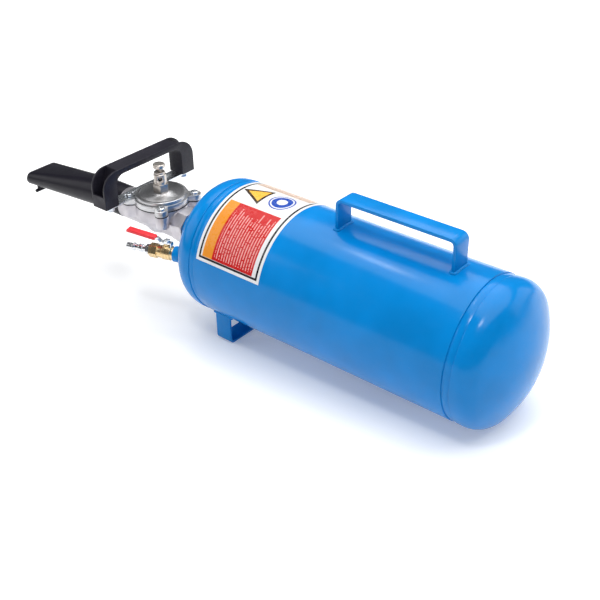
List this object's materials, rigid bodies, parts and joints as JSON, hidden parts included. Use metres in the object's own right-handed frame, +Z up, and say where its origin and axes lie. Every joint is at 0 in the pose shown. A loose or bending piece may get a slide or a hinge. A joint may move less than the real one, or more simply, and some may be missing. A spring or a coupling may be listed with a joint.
{
  "type": "portable air receiver with blast nozzle",
  "caption": "Portable air receiver tank with a carry handle, a push-button quick-release diaphragm valve under a bridge grip, a flattened blast nozzle and a ball-valve inlet.",
  "frame": {"origin": "middle of the underside of the foot strap", "axes": "+X along the tank axis towards the nozzle, +Y towards the inlet valve's side, +Z up, with the tank axis level 133 mm above the origin"},
  "size_m": [1.0386, 0.2212, 0.2915],
  "materials": {
    "blue_paint": "glossy sky-blue enamel",
    "label_film": "glossy printed film",
    "cast_aluminium": "fine cast, satin",
    "turned_aluminium": "turned and satin",
    "black_rubber": "matt",
    "zinc_steel": "bright zinc",
    "spring_steel": "drawn wire",
    "nickel": "satin nickel plate",
    "black_plastic": "fine grained moulding",
    "black_paint": "semi-gloss powder coat",
    "brass": "machined",
    "chrome": "bright",
    "red_vinyl": "dipped vinyl",
    "white_ptfe": "plain"
  },
  "bodies": {
    "tank": {"shell": "blue_paint", "front_head": "blue_paint", "rear_head": "blue_paint", "front_seam": "blue_paint", "rear_seam": "blue_paint", "outlet_socket": "blue_paint", "inlet_bung": "blue_paint", "carry_handle": "blue_paint", "handle_welds": "blue_paint", "front_foot": "blue_paint", "foot_welds": "blue_paint", "label": "label_film", "valve_body": "cast_aluminium", "valve_cover": "turned_aluminium", "diaphragm_rim": "black_rubber", "diaphragm_web": "black_rubber", "cover_screws": "zinc_steel", "grip_screws": "zinc_steel", "grip_nuts": "zinc_steel", "grip_bracket": "zinc_steel", "outlet_nipple": "zinc_steel", "diaphragm_spring": "spring_steel", "pilot_spring": "spring_steel", "pilot_body": "nickel", "pilot_gland": "nickel", "spring_retainer": "nickel", "grip": "black_plastic", "barrel": "black_paint", "barrel_socket": "black_paint", "rim_hook": "black_paint", "cock_body": "brass", "cock_end": "brass", "gland_nut": "brass", "coupler_plug": "chrome", "ball_seats": "white_ptfe"},
    "button": {"pilot_button": "nickel", "plunger_seal": "black_rubber"},
    "poppet": {"seat_disc": "black_rubber", "clamp_plates": "zinc_steel", "clamp_screw": "zinc_steel", "clamp_nut": "zinc_steel"},
    "lever_set": {"lever": "zinc_steel", "lever_sleeve": "red_vinyl", "lever_nut": "zinc_steel", "stem": "chrome", "ball": "chrome"}
  },
  "joints": [
    {"name": "button_press", "type": "slide", "parent": "tank", "child": "button", "axis": [0, 0, -1], "range_m": [0, 0.004], "stiffness_N_per_m": 2500, "springref_m": -0.002, "deforming": ["pilot_spring"]},
    {"name": "diaphragm_lift", "type": "slide", "parent": "tank", "child": "poppet", "axis": [0, 0, 1], "range_m": [0, 0.006], "stiffness_N_per_m": 600, "springref_m": -0.004, "deforming": ["diaphragm_spring", "diaphragm_web"]},
    {"name": "lever_turn", "type": "hinge", "parent": "tank", "child": "lever_set", "pos_m": [0.1074, 0.08191, 0.131], "axis": [0, 0, 1], "range_deg": [0, 90]}
  ],
  "couplings": [
    {"joint": "diaphragm_lift", "follows": "button_press", "ratio": 1.5}
  ]
}
